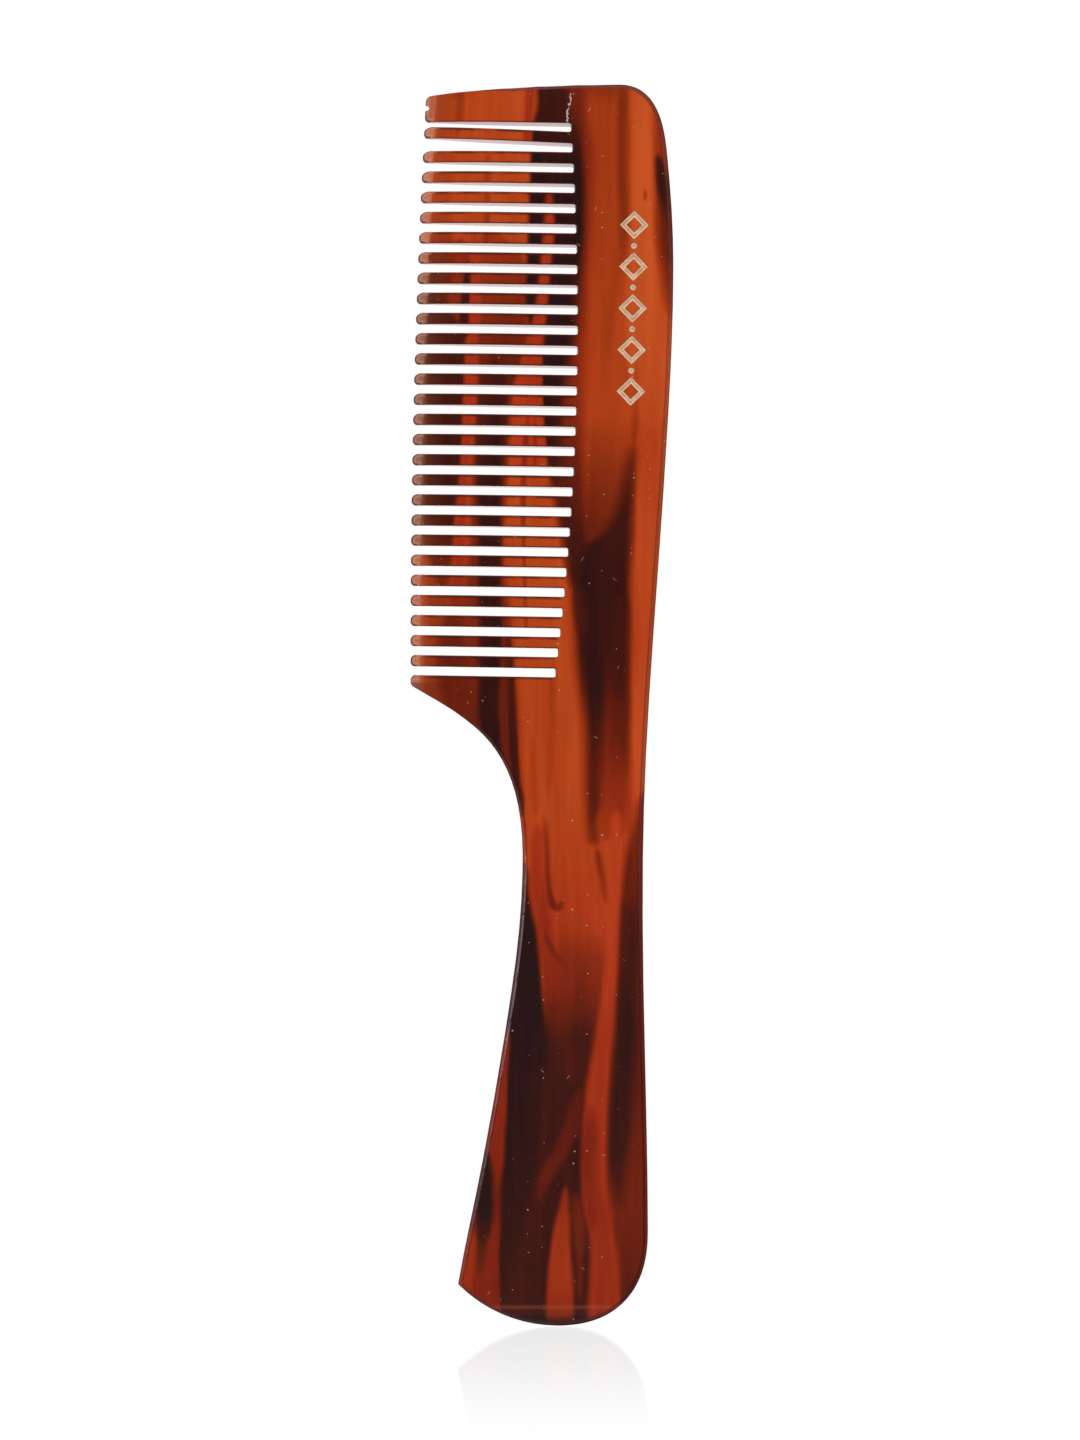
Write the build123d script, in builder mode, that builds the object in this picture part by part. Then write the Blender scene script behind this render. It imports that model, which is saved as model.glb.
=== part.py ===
from build123d import *
import os
from math import asin, cos, degrees, hypot, pi, radians, sin, sqrt, tan

# A handled dressing comb, sawn, ground and polished from one sheet of cellulose
# acetate, with a small foil ornament pressed into the front of its spine.
#
# +Z runs along the comb from the end of the handle to the top of the head. The
# teeth point to -X, the spine is on the +X side, and the front face looks to -Y.
# The origin is under the handle's end, at mid width and mid thickness.
# All sizes are in millimetres and all angles in degrees.

# The sheet
LENGTH = 200.0
THICKNESS = 4.2
RIM_RADIUS = 0.8

# The handle: (x, z) points on its outline
HANDLE_CORNER = (-13.5, 6.7)
HANDLE_LOW = (2.6, 0.0)
HANDLE_CHIN = (12.8, 3.4)
HANDLE_HIP = (17.1, 15.0)
HANDLE_LEFT = [(-5.6, 49.3), (-10.8, 20.3)]
HANDLE_CORNER_SLOPE = (-0.17, -1)
WAIST = (-3.1, 75.5)

# The head: (x, z) points on its outline
SPINE_SWEEP = [(16.5, 49.0), (16.5, 84.7), (18.6, 120.0), (20.5, 149.0)]
SPINE_PEAK = (21.2, 171.0)
SHOULDER = [(20.3, 187.8), (18.15, 196.75)]
CROWN = (12.5, LENGTH)
GUARD_Z = 198.2
NECK = (-8.7, 94.4)
HEEL_Z = 103.2
HEEL_SLOPE = (0.87, -0.5)
OUTER_TOOTH_RADIUS = 1.0

# The tips of the teeth lie on a long arc that reaches furthest out at TIP_BOW_Z
TIP_REACH = 21.2
TIP_BOW_RADIUS = 1550.0
TIP_BOW_Z = 110.0

# The grind that thins the teeth towards their tips, on both faces
GRIND_LENGTH = 15.0
GRIND_RADIUS = 68.0
GRIND_BOTTOM_Z = 86.0
GRIND_TOP_Z = 204.0
FACET_LENGTH = 1.6
TIP_THICKNESS = 0.7

# The saw cuts between the teeth, whose roots lie on an arc too
SLOTS = 28
SLOT_PITCH = 3.252
SLOT_WIDTH = 1.4
SLOT_TILT = 1.0
SLOT_WANDER = 0.13
FIRST_SLOT_Z = 105.17
SLOT_CORNER_RADIUS = 0.3
BENT_TOOTH_LEAN = 1.6
ROOT_REACH = 5.75
ROOT_ARC_RADIUS = 455.0
ROOT_ARC_Z = 162.0

# The polished rounding of the teeth. The upper corner of a tip is drawn out
# further on the higher teeth, by TIP_GROWTH for each millimetre of height.
TIP_RADIUS = 0.75
TIP_UPPER_HEIGHT = 0.95
TIP_GROWTH = 0.0095
TIP_OVERCUT = 0.02
TOOTH_EDGE_RADIUS = 0.18

# The handles of a quarter round, as a share of its sides
ROUNDING = 0.5523

# A worn nick in the tip of the guard tooth
NICK_RADIUS = 0.45
NICK_Z = 196.35
NICK_INSET = 0.15

# Room that the cutting shapes reach beyond the comb
CLEAR = 2.0

# The foil ornament: a row of hollow lozenges with dots between them, in a recess
FOIL_CENTRE = (14.6, 163.9)
FOIL_LEAN = -1.2
LOZENGES = 5
LOZENGE_PITCH = 6.7
LOZENGE_LENGTH = 4.7
LOZENGE_WIDTH = 4.7
LOZENGE_STROKE = 0.8
DOT_RADIUS = 0.5
RECESS_DEPTH = 0.2
FOIL_THICKNESS = 0.1
FOIL_CLEARANCE = 0.03


def tip_x(z):
    """The x of the line through the tips of the teeth at height z."""
    rise = z - TIP_BOW_Z
    return TIP_BOW_RADIUS - sqrt(TIP_BOW_RADIUS**2 - rise**2) - TIP_REACH


def root_x(z):
    """The x where the saw cut at height z ends."""
    rise = z - ROOT_ARC_Z
    return ROOT_REACH - ROOT_ARC_RADIUS + sqrt(ROOT_ARC_RADIUS**2 - rise**2)


def slot_corners(index):
    """The corners of one saw cut, counted up from the heel, roots first.

    The saw's feed wanders a little low in the middle of the row. The last tooth
    before the guard tooth is bent up, which opens the cut under it.
    """
    wander = SLOT_WANDER * sin(pi * index / (SLOTS - 1))
    root_z = FIRST_SLOT_Z + index * SLOT_PITCH - wander
    root = root_x(root_z)
    mouth = tip_x(root_z) - CLEAR
    low_tilt = SLOT_TILT + (BENT_TOOTH_LEAN if index == SLOTS - 1 else 0)
    high_tilt = SLOT_TILT + (BENT_TOOTH_LEAN if index == SLOTS - 2 else 0)
    low = root_z - SLOT_WIDTH / 2
    high = root_z + SLOT_WIDTH / 2
    return [
        (root, low),
        (root, high),
        (mouth, high + (root - mouth) * tan(radians(high_tilt))),
        (mouth, low + (root - mouth) * tan(radians(low_tilt))),
    ]


def tip_waste(root_point, mouth_point, side, length, height):
    """The waste that is rounded off a tip beside one wall of a cut.

    side is 1 where the tooth lies above the wall and -1 where it lies below. The
    round runs for length along the wall and for height along the tip's face. Both
    its ends lie just outside the tooth, so that it always cuts through.
    """
    wall_x = tip_x(root_point[1]) + length
    share = (root_point[0] - wall_x) / (root_point[0] - mouth_point[0])
    wall_z = root_point[1] + share * (mouth_point[1] - root_point[1])
    face_z = wall_z + side * height
    start_z = wall_z - side * TIP_OVERCUT
    face_x = tip_x(face_z) - TIP_OVERCUT
    outer_x = face_x - CLEAR
    cut_z = wall_z - side * SLOT_WIDTH / 4
    with BuildSketch() as waste:
        with BuildLine():
            wall_handle = (wall_x - ROUNDING * length, start_z)
            face_handle = (face_x, face_z - side * ROUNDING * height)
            Bezier((wall_x, start_z), wall_handle, face_handle, (face_x, face_z))
            Polyline(
                (face_x, face_z),
                (outer_x, face_z),
                (outer_x, cut_z),
                (wall_x, cut_z),
                (wall_x, start_z),
            )
        make_face()
    return waste.sketch


def half_thickness(depth):
    """Half the ground thickness at a depth in from the line of the tips."""
    run = GRIND_LENGTH - depth
    return THICKNESS / 2 - GRIND_RADIUS + sqrt(GRIND_RADIUS**2 - run**2)


def lozenge(inset):
    """The corners of one lozenge, its sides moved in by inset."""
    half_width = LOZENGE_WIDTH / 2
    half_length = LOZENGE_LENGTH / 2
    side = hypot(half_width, half_length)
    x = half_width - inset * side / half_length
    y = half_length - inset * side / half_width
    return [(x, 0), (0, y), (-x, 0), (0, -y)]


def ornament(inset):
    """The flat ornament about its own centre, drawn in by inset all round."""
    with BuildSketch() as row:
        with GridLocations(0, LOZENGE_PITCH, 1, LOZENGES):
            Polygon(*lozenge(inset))
            Polygon(*lozenge(LOZENGE_STROKE - inset), mode=Mode.SUBTRACT)
        with GridLocations(0, LOZENGE_PITCH, 1, LOZENGES - 1):
            Circle(DOT_RADIUS - inset)
    return row.sketch


# The grind swings about the centre of the arc through the tips
bow_centre = Vector(TIP_BOW_RADIUS - TIP_REACH, 0, TIP_BOW_Z)
bow_axis = Axis(bow_centre, (0, 1, 0))
swing_start = asin((GRIND_BOTTOM_Z - TIP_BOW_Z) / TIP_BOW_RADIUS)
swing_end = asin((GRIND_TOP_Z - TIP_BOW_Z) / TIP_BOW_RADIUS)
grind_plane = Plane(
    origin=bow_centre,
    x_dir=(-cos(swing_start), 0, sin(swing_start)),
    z_dir=(-sin(swing_start), 0, -cos(swing_start)),
)

# The ornament's place on the front face, as seen by a sketch on that face
foil_place = Location((*FOIL_CENTRE, 0), (0, 0, FOIL_LEAN))

with BuildPart() as comb_body:
    # The blank, with its tooth line still uncut
    with BuildSketch(Plane.XZ) as blank:
        with BuildLine():
            TangentArc(HANDLE_LOW, HANDLE_CORNER, tangent=(-1, 0))
            Spline(HANDLE_LOW, HANDLE_CHIN, HANDLE_HIP, tangents=[(1, 0), (0, 1)])
            Spline(HANDLE_HIP, *SPINE_SWEEP, SPINE_PEAK, tangents=[(0, 1), (0, 1)])
            Spline(SPINE_PEAK, *SHOULDER, CROWN, tangents=[(0, 1), (-1, 0)])
            guard, middle, heel = [(tip_x(z), z) for z in (GUARD_Z, TIP_BOW_Z, HEEL_Z)]
            TangentArc(CROWN, guard, tangent=(-1, 0))
            ThreePointArc(guard, middle, heel)
            Spline(heel, NECK, WAIST, tangents=[HEEL_SLOPE, (0, -1)])
            Spline(WAIST, *HANDLE_LEFT, HANDLE_CORNER, tangents=[(0, -1), HANDLE_CORNER_SLOPE])
        make_face()
        fillet(blank.vertices().sort_by(Axis.X)[:2], OUTER_TOOTH_RADIUS)
    extrude(amount=THICKNESS / 2, both=True)

    # The polished rim of both faces
    fillet(comb_body.faces().filter_by(Axis.Y).edges(), RIM_RADIUS)

    # The grind of both faces
    with BuildSketch(grind_plane):
        with BuildLine():
            grind_start = (TIP_BOW_RADIUS - GRIND_LENGTH, THICKNESS / 2)
            grind_middle = (TIP_BOW_RADIUS - GRIND_LENGTH / 2, half_thickness(GRIND_LENGTH / 2))
            facet_start = (TIP_BOW_RADIUS - FACET_LENGTH, half_thickness(FACET_LENGTH))
            tip = (TIP_BOW_RADIUS, TIP_THICKNESS / 2)
            flank = ThreePointArc(grind_start, grind_middle, facet_start)
            TangentArc(facet_start, tip, tangent=flank % 1)
            Polyline(
                tip,
                (TIP_BOW_RADIUS + CLEAR, TIP_THICKNESS / 2),
                (TIP_BOW_RADIUS + CLEAR, THICKNESS),
                (TIP_BOW_RADIUS - GRIND_LENGTH, THICKNESS),
                grind_start,
            )
        make_face()
        mirror(about=Plane.XZ)
    revolve(axis=bow_axis, revolution_arc=degrees(swing_end - swing_start), mode=Mode.SUBTRACT)

    # The saw cuts
    with BuildSketch(Plane.XZ) as cuts:
        for index in range(SLOTS):
            with BuildLine():
                Polyline(*slot_corners(index), close=True)
            make_face()
        fillet(cuts.vertices().filter_by_position(Axis.X, 0, ROOT_REACH), SLOT_CORNER_RADIUS)
    extrude(amount=THICKNESS, both=True, mode=Mode.SUBTRACT)

    # The softened long edges of the teeth
    cut_walls = comb_body.faces(Select.LAST).filter_by(GeomType.PLANE)
    long_edges = cut_walls.edges().filter_by(lambda edge: abs((edge @ 0 - edge @ 1).X) > FACET_LENGTH)
    fillet(long_edges, TOOTH_EDGE_RADIUS)

    # The rounded corners of the tips
    root_first = slot_corners(0)[0]
    with BuildSketch(Plane.XZ):
        for index in range(SLOTS):
            root_low, root_high, mouth_high, mouth_low = slot_corners(index)
            upper_length = TIP_RADIUS + TIP_GROWTH * (root_low[1] - root_first[1])
            add(tip_waste(root_high, mouth_high, 1, TIP_RADIUS, TIP_RADIUS))
            add(tip_waste(root_low, mouth_low, -1, upper_length, TIP_UPPER_HEIGHT))
    extrude(amount=THICKNESS, both=True, mode=Mode.SUBTRACT)

    # The nick in the guard tooth
    with BuildSketch(Plane.XZ):
        with Locations((tip_x(NICK_Z) + NICK_INSET, NICK_Z)):
            Circle(NICK_RADIUS)
    extrude(amount=THICKNESS, both=True, mode=Mode.SUBTRACT)

    # The recess that the foil is pressed into
    with BuildSketch(Plane.XZ.offset(THICKNESS / 2)):
        with Locations(foil_place):
            add(ornament(0))
    extrude(amount=-RECESS_DEPTH, mode=Mode.SUBTRACT)

# The foil lies on the floor of the recess
with BuildPart() as foil_mark:
    with BuildSketch(Plane.XZ.offset(THICKNESS / 2 - RECESS_DEPTH)):
        with Locations(foil_place):
            add(ornament(FOIL_CLEARANCE))
    extrude(amount=FOIL_THICKNESS)

comb_body.part.label = "comb_body"
foil_mark.part.label = "foil_mark"

os.makedirs("parts", exist_ok=True)
export_step(comb_body.part, "parts/comb_body.step")
export_step(foil_mark.part, "parts/foil_mark.step")
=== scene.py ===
"""Tortoiseshell acetate hair comb with a foil-filled ornament, standing on a pale glossy studio floor.

The comb stands upright: handle end at the floor, head on top, teeth to -X, spine to +X, front to -Y.
Materials work in millimetres of the comb's own frame, so each band of dye has a height, left and right.
"""

from math import cos, pi, radians, sin, sqrt

import bpy
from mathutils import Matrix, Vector

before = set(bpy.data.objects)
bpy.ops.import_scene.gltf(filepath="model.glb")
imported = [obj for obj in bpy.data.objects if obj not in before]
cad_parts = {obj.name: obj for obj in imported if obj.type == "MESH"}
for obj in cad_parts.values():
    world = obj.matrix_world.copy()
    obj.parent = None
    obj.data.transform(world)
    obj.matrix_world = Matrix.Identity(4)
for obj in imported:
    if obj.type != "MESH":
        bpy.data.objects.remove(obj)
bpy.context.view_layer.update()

MM = 0.001
COMB_HEIGHT = 200.0
CHART_MARGIN = 5.0
CHART_LEFT = -24.0
CHART_WIDTH = 48.0
# A band's end is held this much further along the comb, so that its curve is level where it stops.
END_FLAT = 2.0

# The ground faces end on this shallow arc of tooth tips.
TIP_ARC_X = -21.2
TIP_ARC_Z = 110.0
TIP_ARC_RADIUS = 1550.0

# The saw cuts: the lowest one's height at its root, how they follow one another, and their slant.
CUT_COUNT = 28
CUT_PITCH = 3.252
CUT_WIDTH = 1.4
CUT_WANDER = 0.13
CUT_FIRST_Z = 105.17
CUT_SLANT = 0.0175
CUT_ROOT_X = 5.75
CUT_ROOT_Z = 162.0
CUT_ROOT_RADIUS = 455.0
BENT_TOOTH_SLANT = 0.0279

# The polished corners of a tip: length and height of the upper and the lower one.
UPPER_CORNER_LENGTH = 0.75
UPPER_CORNER_GROWTH = 0.0095
UPPER_CORNER_HEIGHT = 0.95
LOWER_CORNER = 0.75

# Heights where the teeth, their sawn walls and the flat faces around them begin or end, and of the
# crease where the end of the handle tapers, which gets a painted highlight line.
TEETH_BOTTOM_Z = 102.4
WALLS_BOTTOM_Z = 104.2
WALLS_TOP_Z = 195.2
HEEL_FLAT_Z = 103.9
CROWN_FLAT_Z = 197.2
GUARD_TOOTH_Z = 194.2
TAPER_CREASE_Z = 3.1

# The foil ornament: its middle, its lean, and the sizes of its lozenges and dots.
FOIL_X = 14.6
FOIL_Z = 163.9
FOIL_LEAN = radians(1.2)
FOIL_PITCH = 6.7
LOZENGE_RING = 1.262
LOZENGE_HALF_STROKE = 0.37
FOIL_DOT = 0.47
FOIL_HATCH = 0.42

# The camera is square to the front face and about level with the middle of the comb.
CAMERA_X = -0.3
CAMERA_Y = -602.1
CAMERA_Z = 97.6
CAMERA_LENS = 93.2

# The floor lies this far under the end of the comb.
FLOOR_GAP = 0.28
FLOOR_SIZE = 3000.0


def srgb(red, green, blue):
    """Linear colour of an sRGB colour given as 0..255."""

    def linear(channel):
        c = channel / 255.0
        return c / 12.92 if c <= 0.04045 else ((c + 0.055) / 1.055) ** 2.4

    return (linear(red), linear(green), linear(blue), 1.0)


# Colours on top of the dye: the finish and its wear, and painted shade, highlights and reflections on
# edges, tips, walls and rims.
GROUND_FACE = srgb(200, 112, 66)
FROST = srgb(222, 146, 106)
# Painted highlight inside the rounded outline of the tips.
TIP_LIP_HIGHLIGHT = srgb(228, 162, 144)
# Painted shade round the tips and along the long edges of the teeth.
TIP_OUTLINE_SHADE = srgb(66, 36, 38)
TOOTH_EDGE_SHADE = srgb(64, 20, 16)
# Painted reflection on the sawn walls, towards the front and towards the back.
WALL_REFLECTION_FRONT = srgb(255, 198, 194)
WALL_REFLECTION_BACK = srgb(240, 202, 208)
DUST = srgb(226, 190, 176)
SCRATCH = srgb(214, 196, 190)
# Painted highlight along the crease of the tapered end.
TAPER_CREASE_HIGHLIGHT = srgb(230, 120, 80)
# Painted shade and glow on the rounded rims, and painted shade on their silhouettes.
RIM_UPWARD_SHADE = srgb(108, 38, 28)
RIM_GLOW_LEFT = srgb(112, 72, 76)
RIM_GLOW_RIGHT = srgb(122, 46, 38)
RIM_SHADE_LINE = srgb(44, 14, 12)
SILHOUETTE_SHADE = srgb(48, 16, 14)

FOIL_GOLDS = [(0.3, srgb(206, 146, 100)), (0.5, srgb(224, 170, 124)), (0.7, srgb(244, 204, 160))]
FOIL_HATCHING = srgb(146, 92, 66)
# Painted highlight along the rims of the foil.
FOIL_RIM_HIGHLIGHT = srgb(252, 238, 214)
WHITE = (1.0, 1.0, 1.0, 1.0)

# Dye strength 0 is the clearest amber, 1 is almost black; each ramp is (strength, colour).
AMBER = [
    (0.00, srgb(210, 88, 38)),
    (0.20, srgb(187, 68, 22)),
    (0.40, srgb(154, 52, 16)),
    (0.60, srgb(116, 36, 12)),
    (0.80, srgb(76, 24, 12)),
    (1.00, srgb(42, 17, 17)),
]
RED = [
    (0.00, srgb(202, 66, 30)),
    (0.20, srgb(176, 50, 21)),
    (0.40, srgb(146, 39, 15)),
    (0.60, srgb(110, 29, 13)),
    (0.80, srgb(74, 22, 14)),
    (1.00, srgb(42, 16, 16)),
]

# Bands of dye, painted one over the other. Each is: softness of its edges in mm, redness (None keeps
# what is below) and points (height, left edge, right edge, strength). Equal edges close a band.
BANDS = {
    "tips_brown": (1.0, None, [
        (201, -24, -14.2, 0.34), (190, -24, -14.0, 0.34), (180, -24, -14.6, 0.38),
        (172, -24, -14.0, 0.42), (150, -24, -13.0, 0.45), (122, -24, -14.5, 0.40),
        (112, -24, -14.0, 0.38), (103, -24, -14.0, 0.42), (90, -14.0, -14.0, 0.4),
    ]),
    "guard_seam": (0.5, None, [
        (201, -13.9, -12.6, 0.36), (194, -14.2, -12.9, 0.38), (189, -13.6, -13.6, 0.36),
    ]),
    "tooth_middle": (1.0, 0.5, [
        (181, -8.6, -8.6, 0.25), (176, -9.8, -7.0, 0.32), (171, -10.4, -2.8, 0.40),
        (166, -10.8, -2.4, 0.46), (161, -11.0, -2.2, 0.54), (156, -10.8, -2.8, 0.60),
        (150, -10.9, -4.9, 0.68), (143, -11.3, -5.4, 0.70), (136, -11.4, -5.8, 0.66),
        (130, -11.6, -6.2, 0.60), (123, -12.0, -6.3, 0.58), (117, -13.0, -5.6, 0.56),
        (112, -16.5, -5.0, 0.54), (107, -17.0, -4.6, 0.60), (102, -16.4, -4.2, 0.60),
        (96, -14.0, -4.0, 0.60), (90, -9.0, -3.8, 0.55), (85, -5.0, -3.3, 0.50), (80, -3.0, -3.0, 0.4),
    ]),
    "tooth_brown_line": (0.4, None, [
        (192, -8.6, -8.6, 0.2), (187, -9.4, -8.2, 0.30), (181, -9.6, -8.4, 0.34), (175, -9.4, -8.6, 0.4),
        (170, -9.0, -9.0, 0.4),
    ]),
    "tip_mid": (0.9, 0.8, [
        (178, -12.8, -12.8, 0.36), (173, -14.8, -11.6, 0.42), (167, -15.0, -11.2, 0.46),
        (161, -14.6, -11.2, 0.46), (156, -13.0, -13.0, 0.5),
    ]),
    "tips_dark": (0.7, 0.3, [
        (178, -16.0, -16.0, 0.4), (174, -18.4, -14.0, 0.52), (169, -20.0, -14.5, 0.72),
        (165, -24, -15.2, 0.80), (162, -24, -13.8, 0.82), (159, -24, -12.4, 0.84),
        (153, -24, -12.4, 0.88), (147, -24, -12.8, 0.88), (141, -24, -13.0, 0.88),
        (134, -24, -13.5, 0.86), (129, -24, -14.1, 0.78), (125, -18.6, -14.4, 0.68),
        (120, -17.2, -14.8, 0.56), (116, -16.0, -16.0, 0.5),
    ]),
    "tip_gap_dark": (0.35, None, [
        (174, -11.8, -11.8, 0.6), (170, -12.4, -11.4, 0.80), (166, -13.0, -11.7, 0.86),
        (161, -13.4, -12.0, 0.86), (157, -12.6, -12.6, 0.8),
    ]),
    "tip_red": (0.6, 1.0, [
        (179, -10.8, -10.8, 0.2), (174, -11.4, -10.3, 0.16), (169, -11.4, -10.1, 0.18),
        (164, -11.7, -9.9, 0.22), (159, -12.0, -10.3, 0.28), (153, -12.4, -10.5, 0.26),
        (147, -12.8, -10.9, 0.26), (140, -13.2, -11.6, 0.26), (134, -13.6, -12.0, 0.28),
        (128, -13.9, -12.2, 0.24), (122, -14.1, -12.3, 0.28), (116, -14.6, -12.4, 0.36),
        (111, -13.5, -13.5, 0.4),
    ]),
    "tooth_core": (0.7, 0.2, [
        (159, -8.4, -8.4, 0.7), (153, -10.0, -6.0, 0.80), (147, -10.3, -6.2, 0.86),
        (141, -10.4, -6.6, 0.92), (134, -10.3, -6.8, 0.95), (127, -10.1, -6.7, 0.97),
        (120, -10.2, -6.9, 0.98), (113, -10.1, -6.7, 0.97), (106, -10.3, -6.9, 0.97),
        (100, -10.3, -7.3, 0.97), (95, -9.6, -6.8, 0.97), (90, -8.6, -6.5, 0.97), (84, -6.0, -6.0, 0.9),
    ]),
    "root_maroon": ((1.1, 1.5), 0.5, [
        (201, 3.0, 7.6, 0.54), (195, 3.0, 7.8, 0.57), (188, 4.0, 8.8, 0.66), (180, 4.0, 8.5, 0.70),
        (172, 3.0, 8.2, 0.66), (164, 3.0, 8.0, 0.62), (156, 2.2, 8.2, 0.50), (150, 1.8, 7.6, 0.46),
        (144, 1.2, 7.2, 0.56), (138, 1.2, 7.0, 0.68), (132, 2.2, 7.0, 0.78), (126, 3.2, 7.5, 0.84),
        (120, 4.2, 7.5, 0.80), (114, 5.2, 5.2, 0.7),
    ]),
    "root_black": ((0.55, 1.3), 0.0, [
        (201, -1.0, 4.2, 0.89), (197, -0.9, 4.4, 0.90), (193, -1.5, 5.0, 0.94), (189, -1.9, 5.9, 0.98),
        (184, -2.1, 6.6, 1.00), (178, -2.3, 6.7, 1.00), (172, -2.4, 6.1, 0.98), (166, -2.6, 5.3, 0.95),
        (161, -1.9, 5.0, 0.95), (157, -0.4, 4.4, 0.96), (152, -0.2, 3.5, 0.98), (147, 0.1, 3.1, 0.95),
        (142, 0.6, 2.8, 0.90), (137, 1.3, 2.6, 0.84), (133, 2.0, 2.0, 0.8),
    ]),
    "root_red": (0.55, 1.0, [
        (187, 0.9, 0.9, 0.7), (183, 0.4, 1.4, 0.46), (180, 0.2, 1.7, 0.30), (177, 0.2, 1.9, 0.18),
        (173, -0.1, 1.6, 0.18), (169, -0.5, 1.2, 0.20), (165, -1.0, 0.9, 0.22), (161, -1.8, 0.4, 0.20),
        (158, -2.6, 0.1, 0.20), (154, -3.8, -0.1, 0.20), (150, -4.4, -0.1, 0.16), (145, -4.8, 0.1, 0.14),
        (140, -5.0, 0.6, 0.12), (136, -4.0, -4.0, 0.12),
    ]),
    "root_edge_red": (0.4, 1.0, [
        (201, -2.8, -1.2, 0.28), (196, -2.9, -1.5, 0.26), (191, -3.2, -2.0, 0.24), (186, -3.0, -3.0, 0.2),
    ]),
    "strip_brown_line": (0.3, None, [
        (150, -2.2, -2.2, 0.3), (145, -2.8, -2.2, 0.38), (139, -3.2, -2.5, 0.48), (133, -3.5, -2.6, 0.46),
        (127, -3.4, -2.8, 0.42), (120, -3.2, -2.6, 0.38), (113, -2.9, -2.4, 0.36), (107, -2.6, -2.6, 0.3),
    ]),
    "strip_fine_line": (0.25, None, [
        (149, -1.3, -1.3, 0.3), (144, -1.5, -1.0, 0.34), (138, -1.4, -0.9, 0.30), (133, -1.2, -1.2, 0.2),
    ]),
    "waist_brown_line": (0.35, 0.2, [
        (115, -5.5, -5.5, 0.5), (110, -5.9, -5.0, 0.72), (104, -5.6, -4.5, 0.76), (98, -5.5, -4.3, 0.78),
        (92, -5.2, -4.0, 0.82), (88, -4.7, -3.7, 0.78), (84, -4.0, -2.9, 0.62), (79, -3.2, -3.2, 0.5),
    ]),
    "waist_fine_line": (0.5, None, [
        (111, 1.7, 1.7, 0.24), (104, 1.3, 2.2, 0.30), (96, 1.0, 2.0, 0.28), (88, 0.6, 1.6, 0.28),
        (80, 0.4, 0.4, 0.22),
    ]),
    "waist_faint_line": (0.5, None, [
        (100, -1.6, -1.6, 0.2), (92, -1.8, -0.9, 0.28), (84, -1.7, -0.8, 0.30), (78, -1.4, -1.4, 0.2),
    ]),
    "spine_left": (1.7, None, [
        (201, 7.0, 12.6, 0.44), (198, 7.0, 12.6, 0.36), (195, 7.1, 12.5, 0.28), (190, 7.4, 12.4, 0.29),
        (178, 7.4, 12.4, 0.30), (166, 7.0, 12.0, 0.26), (157, 6.6, 13.5, 0.22), (150, 6.4, 14.6, 0.22),
        (143, 6.2, 14.9, 0.34), (137, 6.2, 14.2, 0.48), (131, 6.2, 13.0, 0.58), (126, 7.0, 11.0, 0.66),
        (122, 9.0, 9.0, 0.7),
    ]),
    "spine_amber": ((0.8, 1.2), 0.0, [
        (201, 14.4, 18.6, 0.08), (188, 14.5, 18.4, 0.05), (176, 14.4, 19.0, 0.03),
        (165, 13.6, 20.0, 0.02), (155, 14.0, 20.6, 0.03), (147, 15.6, 20.0, 0.10),
        (141, 17.0, 17.0, 0.12),
    ]),
    "spine_brown": (0.8, None, [
        (201, 12.0, 13.9, 0.46), (195, 11.8, 13.8, 0.48), (187, 11.9, 13.8, 0.48),
        (180, 12.0, 13.9, 0.48), (174, 11.6, 13.7, 0.40), (168, 11.0, 12.8, 0.33),
        (162, 10.2, 11.8, 0.30), (156, 9.3, 10.8, 0.28), (151, 8.8, 10.0, 0.26), (146, 9.2, 9.2, 0.25),
    ]),
    "spine_flicker": (0.35, None, [
        (184.5, 16.5, 16.5, 0.3), (182, 16.3, 16.9, 0.42), (180, 16.6, 16.6, 0.3),
    ]),
    "spine_lower_brown": (0.5, None, [
        (160, 15.0, 15.0, 0.1), (154, 14.7, 15.4, 0.16), (149, 14.5, 15.4, 0.26), (144, 14.3, 15.3, 0.42),
        (139, 14.8, 14.8, 0.5),
    ]),
    "edge_halo": (1.2, 0.3, [
        (199, 18.0, 18.0, 0.3), (195, 17.9, 20.5, 0.38), (189, 18.1, 24, 0.42), (182, 18.3, 24, 0.50),
        (176, 18.4, 24, 0.56), (170, 19.2, 24, 0.50), (164, 20.0, 24, 0.36), (158, 21.5, 21.5, 0.3),
    ]),
    "edge_lens": (0.6, 0.0, [
        (191, 18.4, 18.4, 0.7), (187.5, 18.3, 19.4, 0.86), (184, 18.5, 20.6, 0.87),
        (180.5, 19.0, 24, 0.76), (176, 19.6, 24, 0.66), (172, 20.2, 24, 0.66), (168.5, 21.2, 21.2, 0.6),
    ]),
    "spine_bright": (0.9, 0.35, [
        (146, 15.9, 15.9, 0.14), (141, 15.5, 18.6, 0.12), (133, 15.3, 18.2, 0.10),
        (124, 15.2, 18.0, 0.12), (114, 14.7, 17.6, 0.12), (106, 14.3, 17.2, 0.08), (98, 14.1, 16.6, 0.02),
        (90, 13.9, 16.2, 0.04), (84, 13.8, 15.8, 0.12), (80, 14.3, 14.3, 0.2),
    ]),
    "flame": ((1.7, 1.2), 0.2, [
        (145, 14.8, 14.8, 0.6), (141, 14.3, 15.0, 0.76), (137.5, 13.5, 14.8, 0.84),
        (134.5, 12.8, 14.6, 0.88), (131.5, 11.9, 14.5, 0.90), (129, 10.6, 14.4, 0.91),
        (127, 9.0, 14.3, 0.92), (125.3, 6.6, 14.2, 0.93), (121, 5.3, 13.9, 0.94), (117, 5.0, 13.8, 0.94),
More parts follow.
